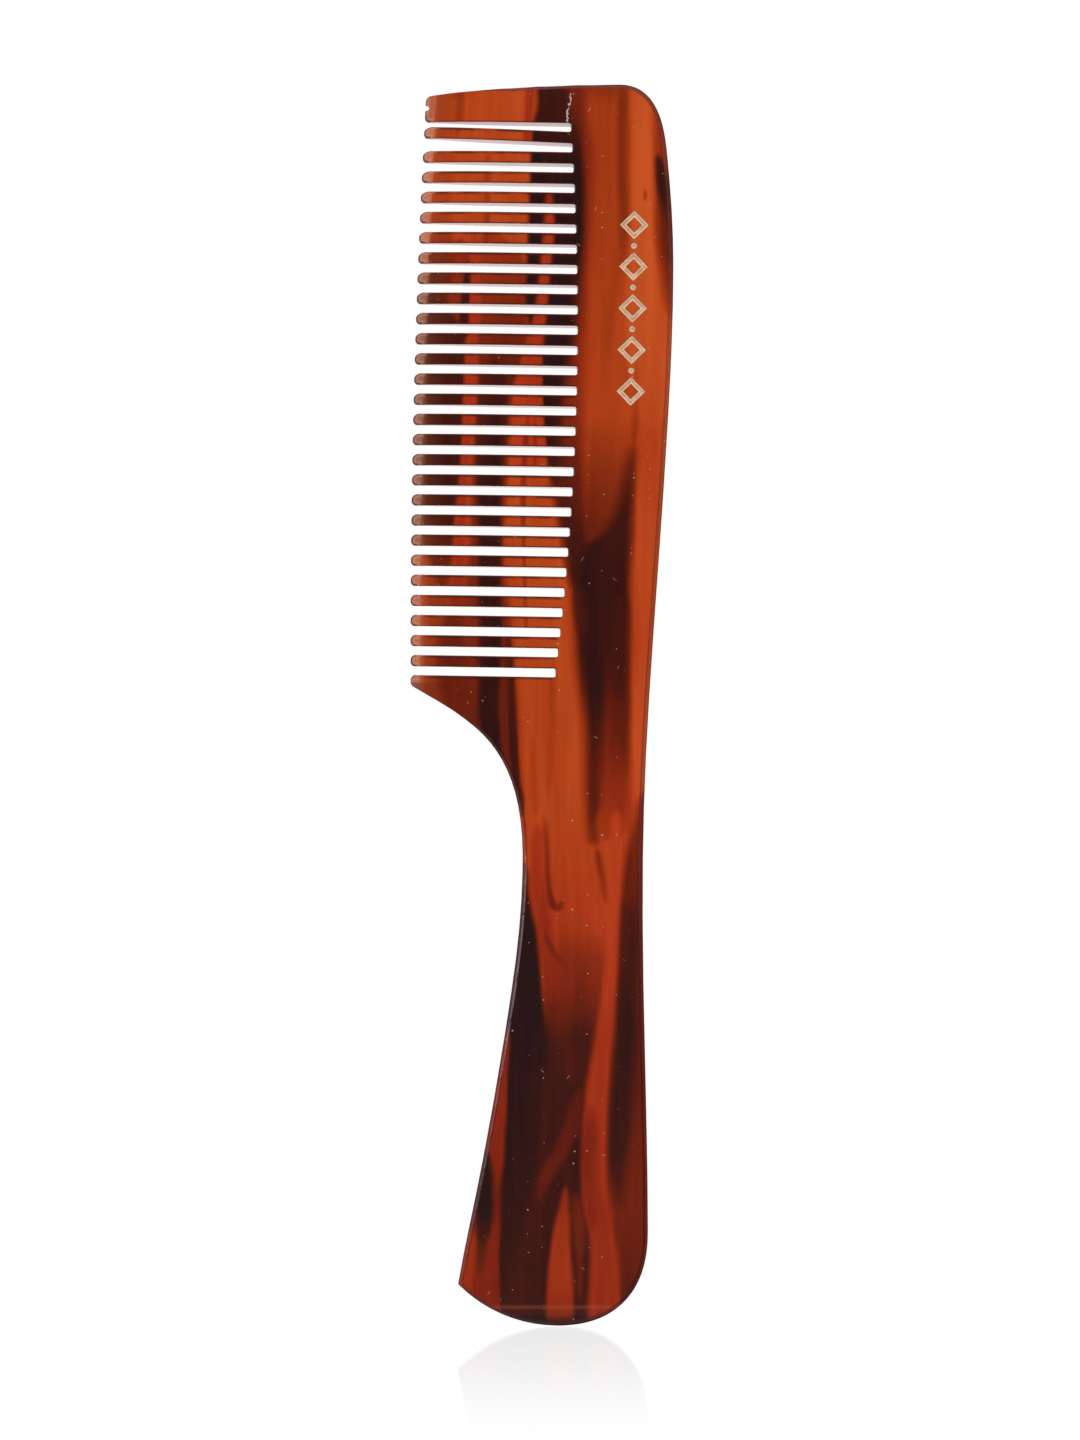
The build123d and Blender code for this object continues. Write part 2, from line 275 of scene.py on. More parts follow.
        (113, 5.2, 13.7, 0.94), (108, 5.5, 13.7, 0.94), (102, 6.1, 13.7, 0.93), (96, 6.9, 13.6, 0.92),
        (91, 7.1, 13.5, 0.90), (87, 7.2, 12.8, 0.88), (84, 7.4, 10.0, 0.90), (81, 7.6, 8.8, 0.88),
        (78, 8.0, 8.8, 0.80), (75.5, 8.6, 8.6, 0.7),
    ]),
    "flame_left": (1.0, 0.5, [
        (122, 5.5, 5.5, 0.8), (118, 4.9, 6.2, 0.78), (113, 5.4, 7.0, 0.78), (107, 6.0, 6.0, 0.8),
    ]),
    "flame_dull": (1.4, 0.6, [
        (122, 12.6, 12.6, 0.86), (116, 11.4, 13.6, 0.84), (110, 10.8, 13.8, 0.80),
        (105, 10.2, 13.8, 0.76), (100, 9.6, 13.8, 0.66), (94, 8.9, 13.8, 0.57), (90, 8.8, 14.0, 0.47),
        (86, 8.9, 14.2, 0.38), (83, 9.0, 14.4, 0.34), (80, 9.0, 13.9, 0.30), (76, 10.0, 10.0, 0.25),
    ]),
    "flame_tail": (0.6, None, [
        (79, 8.4, 8.4, 0.6), (76, 8.6, 9.5, 0.50), (72.5, 9.3, 10.2, 0.46), (69, 9.9, 10.5, 0.44),
        (65.5, 10.3, 10.3, 0.35),
    ]),
    "right_maroon": (1.0, 0.5, [
        (89, 16.5, 16.5, 0.5), (85, 15.7, 24, 0.56), (81, 14.7, 24, 0.58), (78, 13.9, 24, 0.60),
        (74, 13.2, 24, 0.62), (69, 12.7, 24, 0.66), (64, 12.3, 24, 0.70), (58, 12.1, 24, 0.70),
        (52, 11.8, 24, 0.70), (46, 11.4, 24, 0.68), (40, 11.0, 24, 0.68), (34, 10.7, 24, 0.64),
        (28, 10.5, 24, 0.62), (22, 10.6, 24, 0.60), (16, 11.2, 24, 0.62), (10, 12.2, 24, 0.67),
        (4, 12.4, 24, 0.74), (-2, 13.0, 24, 0.64),
    ]),
    "right_black": (1.2, 0.2, [
        (72, 13.4, 13.4, 0.7), (67, 12.9, 14.5, 0.76), (61, 12.6, 15.0, 0.82), (55, 12.3, 14.8, 0.88),
        (49, 11.8, 14.9, 0.95), (43, 11.3, 14.6, 0.96), (37, 10.9, 14.2, 0.96), (31, 10.8, 13.8, 0.95),
        (25, 10.9, 13.3, 0.88), (20, 11.7, 13.0, 0.76), (14, 12.6, 12.6, 0.7),
    ]),
    "lower_field": (1.2, 0.5, [
        (70, 5.0, 5.0, 0.2), (66, 3.5, 6.5, 0.22), (62, 2.4, 9.4, 0.34), (58.5, 2.0, 10.2, 0.46),
        (55, 1.0, 10.0, 0.52), (51.5, 0.2, 9.4, 0.60), (48, -0.5, 8.7, 0.74), (44, -3.0, 8.0, 0.84),
        (40, -9, 7.4, 0.88), (35, -9, 6.8, 0.90), (30, -9, 6.6, 0.88), (25, -9, 6.6, 0.88),
        (20, -9, 6.6, 0.88), (15, -9, 7.6, 0.86), (9, -9, 7.9, 0.88), (3, -9, 7.6, 0.90),
        (-2, -9, 7.6, 0.95),
    ]),
    "lower_rise": (1.5, 0.6, [
        (48, 4.0, 4.0, 0.76), (44, 3.2, 6.4, 0.78), (40, 3.6, 6.2, 0.80), (36, 4.8, 4.8, 0.84),
    ]),
    "left_pocket_red": (0.7, 0.9, [
        (84, -1.0, -1.0, 0.2), (79, -1.7, 0.0, 0.24), (74, -1.8, 0.1, 0.28), (69, -1.3, 0.9, 0.32),
        (64, -0.8, 1.6, 0.34), (60, -0.3, 2.0, 0.36), (56, 0.1, 2.8, 0.42), (52, 0.5, 2.8, 0.56),
        (48.5, 1.4, 1.4, 0.7),
    ]),
    "left_black": (0.65, 0.0, [
        (77, -3.2, -3.2, 0.5), (73, -4.5, -2.3, 0.62), (69.5, -5, -2.0, 0.80), (67.5, -5, -1.7, 0.95),
        (64, -6, -1.0, 1.00), (59, -7, -0.5, 1.00), (54, -8, -0.1, 1.00), (49, -8, 0.4, 1.00),
        (44, -9, 0.6, 1.00), (39, -9, 0.0, 0.98), (33, -9, -0.4, 0.98), (27, -9, -0.8, 0.97),
        (21, -9, -2.0, 0.95), (16, -9, -3.0, 0.94), (9, -7, -3.3, 0.90), (3, -7, -3.3, 0.88),
        (-2, -7, -3.3, 0.95),
    ]),
    "left_red_strip": (0.5, 1.0, [
        (51, -5.4, -5.4, 0.6), (46, -24, -5.1, 0.46), (41, -24, -5.5, 0.40), (36, -24, -5.7, 0.38),
        (31, -24, -6.1, 0.40), (27, -24, -6.3, 0.42), (23.5, -24, -6.7, 0.50), (20, -24, -6.8, 0.58),
        (16, -24, -6.9, 0.50), (11, -24, -7.1, 0.46), (6, -24, -7.0, 0.48), (1, -24, -6.8, 0.52),
        (-2, -24, -6.8, 0.6),
    ]),
    "left_lens": (0.7, 0.0, [
        (31, -9.0, -9.0, 0.8), (27, -12, -8.4, 0.94), (23, -12, -8.1, 1.00), (19, -10.8, -8.1, 1.00),
        (16, -10.7, -8.4, 0.92), (13, -10.8, -9.1, 0.76), (9, -10.9, -9.7, 0.62), (5, -10.4, -10.4, 0.5),
    ]),
    "left_edge_red": (0.5, 0.6, [
        (18, -11.6, -11.6, 0.4), (14, -13.0, -10.9, 0.34), (9, -15, -11.2, 0.34), (4, -15, -11.4, 0.40),
    ]),
    "smear": (1.0, 0.9, [
        (42, 5.9, 5.9, 0.7), (37, 4.9, 6.7, 0.70), (32.5, 3.4, 6.3, 0.68), (29, 1.9, 4.7, 0.66),
        (26, 0.3, 2.9, 0.64), (23, -0.9, 1.2, 0.68), (20, -1.2, -0.2, 0.78), (17.5, -1.0, -1.0, 0.85),
    ]),
    "bright_streak": (0.75, 0.7, [
        (85, 11.9, 11.9, 0.2), (81.5, 10.9, 12.9, 0.12), (78, 10.9, 12.9, 0.10), (73, 11.0, 12.8, 0.10),
        (68, 10.8, 12.4, 0.10), (63, 10.4, 12.0, 0.12), (58, 10.1, 11.8, 0.14), (53, 9.7, 11.4, 0.18),
        (48, 8.9, 10.8, 0.26), (43, 8.1, 10.3, 0.29), (38, 7.4, 10.0, 0.30), (33, 7.0, 9.7, 0.34),
        (28, 6.8, 9.5, 0.41), (23, 6.6, 9.5, 0.41), (18, 7.2, 10.2, 0.38), (13, 8.1, 11.4, 0.32),
        (8, 7.9, 12.0, 0.33), (3, 8.0, 12.4, 0.38), (-2, 8.0, 13.0, 0.5),
    ]),
    "bright_shade": (0.8, 0.9, [
        (38, 7.4, 7.4, 0.3), (34, 6.9, 8.6, 0.42), (30, 6.7, 8.6, 0.50), (26, 6.5, 8.0, 0.50),
        (21, 6.6, 8.6, 0.42), (17, 7.0, 8.6, 0.42), (13, 7.8, 7.8, 0.4),
    ]),
    "tongue_side": (0.7, 0.3, [
        (25, 5.0, 5.0, 0.8), (20, 4.6, 6.2, 0.64), (15, 4.9, 6.9, 0.60), (10, 5.2, 6.6, 0.66),
        (5, 5.6, 6.4, 0.70), (1, 6.0, 6.0, 0.8),
    ]),
    "tongue": (0.6, 0.6, [
        (25.0, 3.6, 3.6, 0.6), (21.6, 3.0, 4.2, 0.46), (19, 2.5, 4.3, 0.38), (16.5, 1.9, 4.5, 0.30),
        (13, 1.3, 4.6, 0.28), (9, 0.9, 4.9, 0.26), (5, 0.7, 5.1, 0.33), (2, 0.6, 5.1, 0.44),
        (-2, 0.5, 5.0, 0.6),
    ]),
    "pocket_line": (0.5, None, [
        (85, 0.0, 0.0, 0.3), (81, 0.1, 0.6, 0.40), (77, 0.3, 1.0, 0.50), (73, 0.5, 1.2, 0.56),
        (69.5, 0.9, 1.7, 0.60), (67.5, 1.2, 2.4, 0.60), (65.9, 2.0, 2.0, 0.5),
    ]),
    "pocket_hook": (0.5, None, [
        (70, 3.4, 3.4, 0.3), (68.3, 2.8, 3.5, 0.40), (66.9, 2.0, 3.0, 0.48), (65.8, 2.2, 2.2, 0.45),
    ]),
    "pocket_lower_line": (0.4, None, [
        (66, 0.2, 0.2, 0.4), (63, 0.4, 1.0, 0.48), (61, 0.9, 1.8, 0.50), (59.4, 1.8, 3.0, 0.50),
        (58, 3.0, 4.2, 0.50), (56.6, 4.4, 4.4, 0.5),
    ]),
}


class Graph:
    """The nodes of one material or world, with short calls for the few node kinds used here."""

    def __init__(self, owner):
        owner.use_nodes = True
        self.owner = owner
        self.tree = owner.node_tree
        self.tree.nodes.clear()

    def put(self, kind, *inputs, **settings):
        """A node of this kind; inputs are (socket name or index, value or output socket)."""
        node = self.tree.nodes.new(kind)
        for key, value in settings.items():
            setattr(node, key, value)
        for socket, value in inputs:
            self.feed(node.inputs[socket], value)
        return node

    def feed(self, socket, value):
        if isinstance(value, bpy.types.NodeSocket):
            self.tree.links.new(value, socket)
        else:
            socket.default_value = value

    def math(self, operation, *values, clamp=False):
        node = self.put("ShaderNodeMath", *enumerate(values), operation=operation, use_clamp=clamp)
        return node.outputs[0]

    def product(self, first, *others):
        for other in others:
            first = self.math("MULTIPLY", first, other)
        return first

    def sway(self, base, noise, amount):
        """The base, moved both ways by a noise, by at most half the amount."""
        return self.math("MULTIPLY_ADD", self.math("SUBTRACT", noise, 0.5), amount, base)

    def step(self, value, low, high, start=0.0, end=1.0):
        """Smooth step from start to end as value goes from low to high."""
        node = self.put(
            "ShaderNodeMapRange", (0, value), (1, low), (2, high), (3, start), (4, end),
            interpolation_type="SMOOTHSTEP",
        )
        return node.outputs[0]

    def mix(self, factor, below, above):
        node = self.put("ShaderNodeMix", (0, factor), (2, below), (3, above), data_type="FLOAT")
        return node.outputs[0]

    def tint(self, factor, below, above):
        node = self.put("ShaderNodeMix", (0, factor), (6, below), (7, above), data_type="RGBA")
        return node.outputs[2]

    def colours(self, value, stops):
        node = self.put("ShaderNodeValToRGB", (0, value))
        elements = node.color_ramp.elements
        while len(elements) < len(stops):
            elements.new(0.5)
        for element, (position, colour) in zip(elements, stops):
            element.position = position
            element.color = colour
        return node.outputs[0]

    def stretch(self, vector, x, y, z):
        node = self.put("ShaderNodeVectorMath", (0, vector), (1, (x, y, z)), operation="MULTIPLY")
        return node.outputs[0]

    def noise(self, vector, scale, detail=2.0, roughness=0.5):
        node = self.put(
            "ShaderNodeTexNoise", ("Vector", vector), ("Scale", scale), ("Detail", detail),
            ("Roughness", roughness),
        )
        return node.outputs[0]

    def curve(self, value, points):
        """Smooth curve through (position, value) points, both within 0..1."""
        node = self.put("ShaderNodeFloatCurve", ("Value", value))
        line = node.mapping.curves[0]
        while len(line.points) < len(points):
            line.points.new(0.5, 0.5)
        for point, (position, height) in zip(line.points, sorted(points)):
            point.location = (position, height)
            point.handle_type = "AUTO_CLAMPED"
        node.mapping.extend = "HORIZONTAL"
        node.mapping.update()
        return node.outputs[0]

    def surface(self, shader):
        """Makes this shader the look of the surface, and returns the finished material."""
        self.put("ShaderNodeOutputMaterial", ("Surface", shader))
        return self.owner


def chart_height(z):
    """A height in mm as a position on the curves, with a little room above and below the comb."""
    return (z + CHART_MARGIN) / (COMB_HEIGHT + 2 * CHART_MARGIN)


def chart_across(x):
    return (x - CHART_LEFT) / CHART_WIDTH


def comb_coordinates(g):
    """Position in mm: the whole vector, x, y and z."""
    position = g.put("ShaderNodeTexCoord").outputs["Object"]
    millimetres = g.stretch(position, 1 / MM, 1 / MM, 1 / MM)
    split = g.put("ShaderNodeSeparateXYZ", (0, millimetres))
    return millimetres, split.outputs[0], split.outputs[1], split.outputs[2]


def paint_band(g, across, height, band, dye, red):
    """Paints one band over the dye strength and the redness, and returns both."""
    softness, redness, points = band
    soft_left, soft_right = softness if isinstance(softness, tuple) else (softness, softness)
    soft_left, soft_right = soft_left / CHART_WIDTH, soft_right / CHART_WIDTH
    pinch = 0.75 * (soft_left + soft_right)
    above = (points[0][0] + END_FLAT, *points[0][1:])
    below = (points[-1][0] - END_FLAT, *points[-1][1:])
    left, right, strength = [], [], []
    for z, low, high, level in [above, *points, below]:
        closed = pinch if low == high else 0.0
        left.append((chart_height(z), chart_across(low) + closed))
        right.append((chart_height(z), chart_across(high) - closed))
        strength.append((chart_height(z), level))
    from_left = g.math("SUBTRACT", across, g.curve(height, left))
    from_right = g.math("SUBTRACT", g.curve(height, right), across)
    mask = g.product(g.step(from_left, -soft_left, soft_left), g.step(from_right, -soft_right, soft_right))
    dye = g.mix(mask, dye, g.curve(height, strength))
    if redness is not None:
        red = g.mix(mask, red, redness)
    return dye, red


def tortoiseshell_dye(g, position, x, y, z):
    """Dye strength and redness through the sheet: wavering bands along the comb with fine grain in them,
    and painted shade that darkens the tapered bottom end.
    """
    slow = g.noise(g.stretch(position, 0.10, 0.10, 0.035), 1.0, 2.0)
    quick = g.noise(g.stretch(position, 0.9, 0.5, 0.06), 1.0, 3.0)
    waver = g.math("MULTIPLY_ADD", y, 0.06, g.sway(g.sway(x, slow, 1.1), quick, 0.5))
    across = g.math("MULTIPLY_ADD", waver, 1 / CHART_WIDTH, -CHART_LEFT / CHART_WIDTH)
    height = g.math("MULTIPLY_ADD", z, chart_height(1) - chart_height(0), chart_height(0))
    dye = g.sway(0.16, slow, 0.10)
    red = g.step(z, 92.0, 50.0)
    for band in BANDS.values():
        dye, red = paint_band(g, across, height, band, dye, red)
    smoke = g.noise(g.stretch(position, 0.30, 0.25, 0.035), 1.0, 3.0, 0.5)
    grain = g.noise(g.stretch(position, 0.9, 0.5, 0.05), 1.0, 4.0, 0.55)
    fine = g.noise(g.stretch(position, 3.0, 1.5, 0.15), 1.0, 2.0)
    dye = g.sway(g.sway(g.sway(dye, smoke, 0.30), grain, 0.15), fine, 0.03)
    # Painted shade: the dye strength is raised over the last 2 mm of the bottom end.
    end = g.step(z, 2.2, 0.4, 0.0, 0.35)
    return g.math("ADD", dye, end, clamp=True), red


def distance_from_tips(g, x, z):
    """How far a point lies inside the arc of tooth tips, in mm."""
    arc = g.math("POWER", g.math("SUBTRACT", z, TIP_ARC_Z), 2.0)
    return g.math("SUBTRACT", x, g.math("MULTIPLY_ADD", arc, 0.5 / TIP_ARC_RADIUS, TIP_ARC_X))


def cut_root_line(g, z):
    """The x of the arc through the roots of the saw cuts."""
    arc = g.math("POWER", g.math("SUBTRACT", z, CUT_ROOT_Z), 2.0)
    return g.math("MULTIPLY_ADD", arc, -0.5 / CUT_ROOT_RADIUS, CUT_ROOT_X)


def distances_from_cuts(g, x, z):
    """How far a point of a tooth lies above the cut below it and below the cut above it, in mm."""
    inward = g.math("SUBTRACT", x, cut_root_line(g, z))
    rise = g.math("MULTIPLY_ADD", inward, CUT_SLANT, g.math("SUBTRACT", z, CUT_FIRST_Z))
    last = CUT_PITCH * (CUT_COUNT - 1)
    rise = g.math("MULTIPLY_ADD", g.math("SINE", g.math("MULTIPLY", rise, pi / last)), CUT_WANDER, rise)
    bent = g.product(g.math("GREATER_THAN", rise, last - 3.0), g.math("LESS_THAN", rise, last + 0.4))
    rise = g.math("MULTIPLY_ADD", g.math("MULTIPLY", inward, BENT_TOOTH_SLANT), bent, rise)
    place = g.math("WRAP", rise, CUT_PITCH, 0.0)
    above = g.math("SUBTRACT", place, CUT_WIDTH / 2)
    below = g.math("SUBTRACT", CUT_PITCH - CUT_WIDTH / 2, place)
    # Under the first cut and over the last one there is no cut to be near.
    above = g.math("MULTIPLY_ADD", g.math("LESS_THAN", rise, -0.5), COMB_HEIGHT, above)
    above = g.math("MULTIPLY_ADD", g.math("GREATER_THAN", rise, last + CUT_PITCH - 0.1), COMB_HEIGHT, above)
    below = g.math("MULTIPLY_ADD", g.math("GREATER_THAN", rise, last + 0.5), COMB_HEIGHT, below)
    return above, below


def corner_depth(g, from_tip, from_cut, length, height):
    """How deep a point lies under the rounded corner of a tip, in mm."""
    along = g.math("MAXIMUM", g.math("SUBTRACT", 1.0, g.math("DIVIDE", from_tip, length)), 0.0)
    across = g.math("MAXIMUM", g.math("SUBTRACT", 1.0, g.math("DIVIDE", from_cut, height)), 0.0)
    reach = g.math("SQRT", g.math("ADD", g.math("POWER", along, 2.0), g.math("POWER", across, 2.0)))
    depth = g.math("MULTIPLY", g.math("SUBTRACT", 1.0, reach), length)
    return g.math("MAXIMUM", depth, g.math("SUBTRACT", from_tip, length))


def tip_outline_depth(g, from_tip, above, below, z):
    """How deep a point lies under the rounded outline of its tip, in mm."""
    up_the_row = g.math("SUBTRACT", z, CUT_FIRST_Z)
    length = g.math("MULTIPLY_ADD", up_the_row, UPPER_CORNER_GROWTH, UPPER_CORNER_LENGTH)
    upper = corner_depth(g, from_tip, below, length, UPPER_CORNER_HEIGHT)
    lower = corner_depth(g, from_tip, above, LOWER_CORNER, LOWER_CORNER)
    return g.math("MINIMUM", upper, lower)


def frosted_tips(g, colour, position, z, dye, from_tip, depth):
    """Thin ground tips, paler and frosted from the last facet outwards, with a painted highlight band
    inside their rounded outline: colour, mask and mottling.
    """
    mottle = g.noise(position, 0.8, 3.0, 0.6)
    facet = g.sway(from_tip, mottle, 1.1)
    tip = g.mix(g.step(z, 174.0, 150.0), g.step(facet, 2.0, 1.5), g.step(facet, 2.7, 0.6))
    colour = g.tint(g.step(from_tip, 5.5, 1.5, 0.0, 0.10), colour, GROUND_FACE)
    clear = g.math("MULTIPLY_ADD", dye, -0.42, 1.0)
    below_guard = g.step(z, GUARD_TOOTH_Z, GUARD_TOOTH_Z - 0.8, 0.35, 1.0)
    frost = g.product(tip, g.step(mottle, 0.3, 0.7, 0.36, 0.56), clear, below_guard)
    colour = g.tint(frost, colour, FROST)
    # Painted highlight: a pale pinkish band just inside the rounded outline of each tip.
    colour = g.tint(g.step(depth, 0.85, 0.35, 0.0, 0.30), colour, TIP_LIP_HIGHLIGHT)
    return colour, tip, mottle


def painted_tooth_edge_shade(g, colour, position, teeth, from_tip, above, below, depth):
    """Painted shade: dark lines where the long edges of the teeth and their tips round over, uneven and
    stronger on the upper edges.
    """
    uneven = g.noise(g.stretch(position, 0.35, 0.35, 1.3), 1.0, 2.0)
    upper = g.product(g.step(below, 0.64, 0.20), g.step(uneven, 0.30, 0.62, 0.25, 0.85))
    line = g.math("MAXIMUM", upper, g.step(above, 0.34, 0.10, 0.0, 0.45))
    colour = g.tint(g.product(line, teeth, g.step(from_tip, 1.4, 3.6)), colour, TOOTH_EDGE_SHADE)
    # Painted shade round the rounded outline of each tip.
    outline = g.product(g.step(depth, 0.38, 0.18), g.step(above, 1.9, 0.9, 0.45, 0.85), teeth)
    return g.tint(outline, colour, TIP_OUTLINE_SHADE)


def sawn_wall_reflection(g, colour, x, y, z, normal_z):
    """The sawn walls between the teeth, tinted pale pink by a painted reflection of the white surroundings:
    colour and mask.
    """
    sideways = g.step(g.math("ABSOLUTE", normal_z), 0.75, 0.95)
    low, high = g.step(z, WALLS_BOTTOM_Z, WALLS_BOTTOM_Z + 0.4), g.step(z, WALLS_TOP_Z, WALLS_TOP_Z - 0.4)
    wall = g.product(sideways, g.step(x, 6.6, 6.2), low, high)
    # Painted reflection, pinker towards the front face than the back.
    wall_reflection = g.tint(g.step(y, -1.2, 1.4), WALL_REFLECTION_FRONT, WALL_REFLECTION_BACK)
    return g.tint(g.math("MULTIPLY", wall, 0.84), colour, wall_reflection), wall


def scattered_specks(g, x, z, spacing, radius, share, length=1.0, lean=0.0):
    """0..1 mask of small marks on the faces: one per cell of this spacing, in a share of the cells.

    A mark is about this radius wide and length times as long, along a line that leans by an angle.
    """
    along = g.math("MULTIPLY_ADD", x, cos(lean) / length, g.math("MULTIPLY", z, sin(lean) / length))
    across = g.math("MULTIPLY_ADD", z, cos(lean), g.math("MULTIPLY", x, -sin(lean)))
    place = g.put("ShaderNodeCombineXYZ", (0, along), (1, across)).outputs[0]
    cells = g.put(
        "ShaderNodeTexVoronoi", ("Vector", place), ("Scale", 1 / spacing), ("Randomness", 1.0),
        voronoi_dimensions="2D",
    )
    pick = g.put("ShaderNodeSeparateColor", (0, cells.outputs["Color"]))
    size = g.math("MULTIPLY_ADD", pick.outputs[1], radius / spacing, 0.4 * radius / spacing)
    near = g.step(g.math("DIVIDE", cells.outputs["Distance"], size), 1.0, 0.5)
    brightness = g.step(pick.outputs[2], 0.0, 1.0, 0.15, 1.0)
    return g.product(near, brightness, g.math("LESS_THAN", pick.outputs[0], share))


def dust_and_scratches(g, position, x, z):
    """0..1 mask of dust specks and short fine scratches, which lie more thickly in some places."""
    crowd = g.step(g.noise(position, 0.09, 2.0), 0.36, 0.66)
    ragged = g.sway(x, g.noise(position, 1.6, 2.0), 0.5)
    dots = scattered_specks(g, x, z, 2.4, 0.125, g.mix(crowd, 0.05, 0.28))
    rising = scattered_specks(g, ragged, z, 1.5, 0.055, g.mix(crowd, 0.02, 0.20), 8.0, radians(58))
    falling = scattered_specks(g, ragged, z, 1.7, 0.055, g.mix(crowd, 0.01, 0.15), 7.0, radians(-35))
    lines = g.math("MULTIPLY", g.math("MAXIMUM", rising, falling), 0.6)
    return g.math("MAXIMUM", dots, lines)


def guard_scratch(g, position, x, z):
    """0..1 mask of the ragged hairline scratch at the root of the guard tooth."""
    leaning = g.math("MULTIPLY_ADD", z, 0.12, -19.2)
    line = g.sway(leaning, g.noise(position, 0.8, 3.0, 0.7), 2.2)
    across = g.math("ABSOLUTE", g.math("SUBTRACT", x, line))
    breaks = g.step(g.noise(position, 2.2, 2.0), 0.36, 0.48)
    return g.product(g.step(across, 0.14, 0.05), g.step(z, 192.8, 193.3), g.step(z, 198.6, 198.2), breaks)


def wear_and_crease_highlight(g, colour, position, x, z, teeth):
    """Pale dust and scratches, and a faint painted highlight line along the crease of the tapered end:
    colour and dust mask.
    """
    few_on_teeth = g.math("MULTIPLY_ADD", teeth, -0.7, 1.0)
    dust = g.product(dust_and_scratches(g, position, x, z), few_on_teeth)
    colour = g.tint(g.math("MULTIPLY", dust, 0.75), colour, DUST)
    colour = g.tint(g.math("MULTIPLY", guard_scratch(g, position, x, z), 0.8), colour, SCRATCH)
    # Painted highlight: a faint light line along the crease where the end tapers.
    from_taper_crease = g.math("ABSOLUTE", g.math("SUBTRACT", z, TAPER_CREASE_Z))
    return g.tint(g.step(from_taper_crease, 0.5, 0.1, 0.0, 0.10), colour, TAPER_CREASE_HIGHLIGHT), dust


def unground_faces(g, z, from_tip, wall):
    """0..1 mask of the parts that the tooth grind left flat, so that a tilt there means a rim."""
    crown = g.product(g.step(z, CROWN_FLAT_Z, CROWN_FLAT_Z + 0.6), g.step(from_tip, 2.0, 5.0))
    flat = g.math("MAXIMUM", g.step(from_tip, 11.0, 14.5), crown)
    flat = g.math("MAXIMUM", flat, g.step(z, HEEL_FLAT_Z, HEEL_FLAT_Z - 0.5))
    return g.math("MULTIPLY", flat, g.math("SUBTRACT", 1.0, wall))


def painted_rim_light(g, colour, x, dye, flatness, normal_z):
    """Painted light on the rounded rims: painted shade on rims that face up, a painted shade line where a
    rim begins, a painted pinkish glow on its roll and painted shade on its silhouette; returns colour and
    the last two masks.
    """
    # Painted shade on rims that face upwards.
    upward_shade = g.product(g.step(flatness, 0.995, 0.96), g.step(normal_z, 0.06, 0.3))
    colour = g.tint(g.math("MULTIPLY", upward_shade, 0.70), colour, RIM_UPWARD_SHADE)
    # Painted glow on the roll of the rim, stronger where the dye is dark.
    roll = g.product(g.step(flatness, 0.92, 0.84), g.step(flatness, 0.45, 0.6))
    rim_glow = g.product(roll, g.step(dye, 0.2, 0.7, 0.10, 0.45))
    colour = g.tint(rim_glow, colour, g.tint(g.step(x, -3.0, 4.0), RIM_GLOW_LEFT, RIM_GLOW_RIGHT))
    # Painted shade line where a rim begins.
    line = g.product(g.step(flatness, 0.997, 0.975), g.step(flatness, 0.84, 0.93), 0.55)
    colour = g.tint(line, colour, RIM_SHADE_LINE)
    # Painted shade on the silhouette.
    facing = g.put("ShaderNodeLayerWeight", ("Blend", 0.5)).outputs["Facing"]
    silhouette = g.product(g.step(facing, 0.38, 0.52), g.step(facing, 0.81, 0.76))
    return g.tint(g.math("MULTIPLY", silhouette, 0.8), colour, SILHOUETTE_SHADE), roll, silhouette


def specular_level(g, tip, roll, right_roll, silhouette):
    """Polish of the faces, less on the rims and on the frosted tips."""
    level = g.math("MULTIPLY_ADD", silhouette, -0.48, 0.5)
    level = g.math("MULTIPLY_ADD", roll, -0.40, level)
    level = g.math("MULTIPLY_ADD", right_roll, -0.40, level)
    return g.math("MULTIPLY_ADD", tip, -0.30, level, clamp=True)


def polish_roughness(g, position, tip, dust):
    wear = g.noise(g.stretch(position, 0.4, 0.4, 0.4), 1.0, 4.0, 0.65)
    roughness = g.math("MULTIPLY_ADD", wear, 0.10, 0.06)
    roughness = g.math("MULTIPLY_ADD", tip, 0.22, roughness)
    return g.math("MULTIPLY_ADD", dust, 0.3, roughness)


def polish_relief(g, position, tip, mottle):
    """Soft waves of the hand polish, fine lines along the comb, faint saw marks and pitted tips."""
    waves = g.noise(position, 0.12, 2.0)
    lines = g.noise(g.stretch(position, 9.0, 9.0, 0.35), 1.0, 2.0)
    saw = g.put(
        "ShaderNodeTexWave", ("Vector", position), ("Scale", 0.9), ("Distortion", 0.6), ("Detail", 1.0),
        bands_direction="X",
    ).outputs[1]
    height = g.math("MULTIPLY", waves, 0.03)
    height = g.math("MULTIPLY_ADD", lines, 0.0006, height)
    height = g.math("MULTIPLY_ADD", g.math("MULTIPLY", mottle, tip), 0.03, height)
    height = g.math("MULTIPLY_ADD", saw, 0.0004, height)
    return g.put("ShaderNodeBump", ("Height", height), ("Distance", MM), ("Strength", 0.6)).outputs[0]


